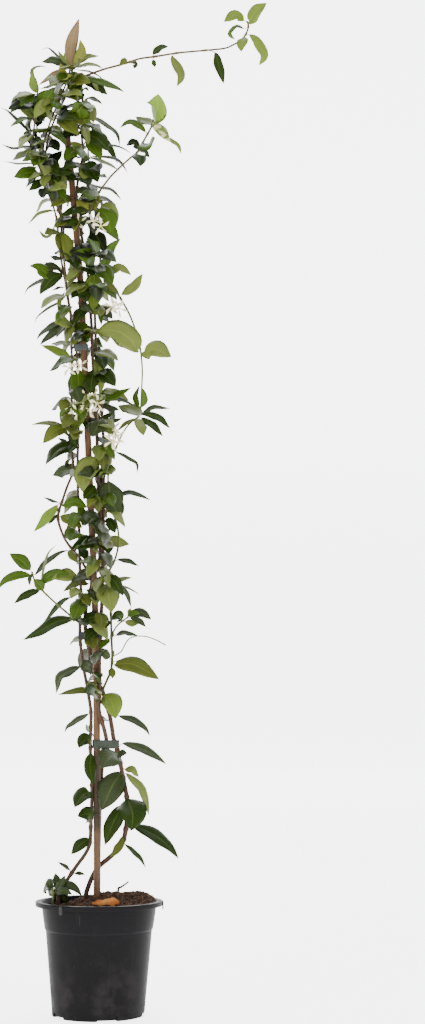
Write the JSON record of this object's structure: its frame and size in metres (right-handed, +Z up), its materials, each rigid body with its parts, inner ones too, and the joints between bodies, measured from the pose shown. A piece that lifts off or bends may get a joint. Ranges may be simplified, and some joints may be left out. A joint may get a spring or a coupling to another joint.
{
  "type": "climbing plant in a nursery pot",
  "caption": "Evergreen climbing jasmine with glossy leaves and white star flowers, tied to a bamboo cane in a round plastic nursery pot.",
  "frame": {"origin": "centre of the pot's underside, on the surface it stands on", "axes": "+Z up along the cane, -Y towards the viewer of the picture, +X to the right"},
  "size_m": [0.3755, 0.17, 1.3859],
  "materials": {
    "pot": "satin",
    "soil": "crumbly",
    "bark": "rough",
    "twig": "rough",
    "cane": "satin",
    "tie": "satin",
    "leaf": "glossy",
    "petal": "matte"
  },
  "bodies": {
    "root": {"pot": "pot", "soil": "soil", "bark_chip": "bark", "twig": "twig", "cane": "cane", "tie_1": "tie", "tie_2": "tie", "tie_3": "tie", "tie_4": "tie", "tie_5": "tie", "tie_6": "tie", "stem_a": "leaf", "stem_b": "leaf", "stem_c": "leaf", "stem_d": "leaf", "stem_e": "leaf", "shoot_twining": "leaf", "shoot_left": "leaf", "shoot_hanging": "leaf", "shoot_right": "leaf", "shoot_inner": "leaf", "tendril": "leaf", "low_sprig": "leaf", "flowers_main": "petal", "flowers_top": "petal", "flowers_mid": "petal", "flowers_left": "petal", "flowers_right": "petal"}
  },
  "joints": []
}
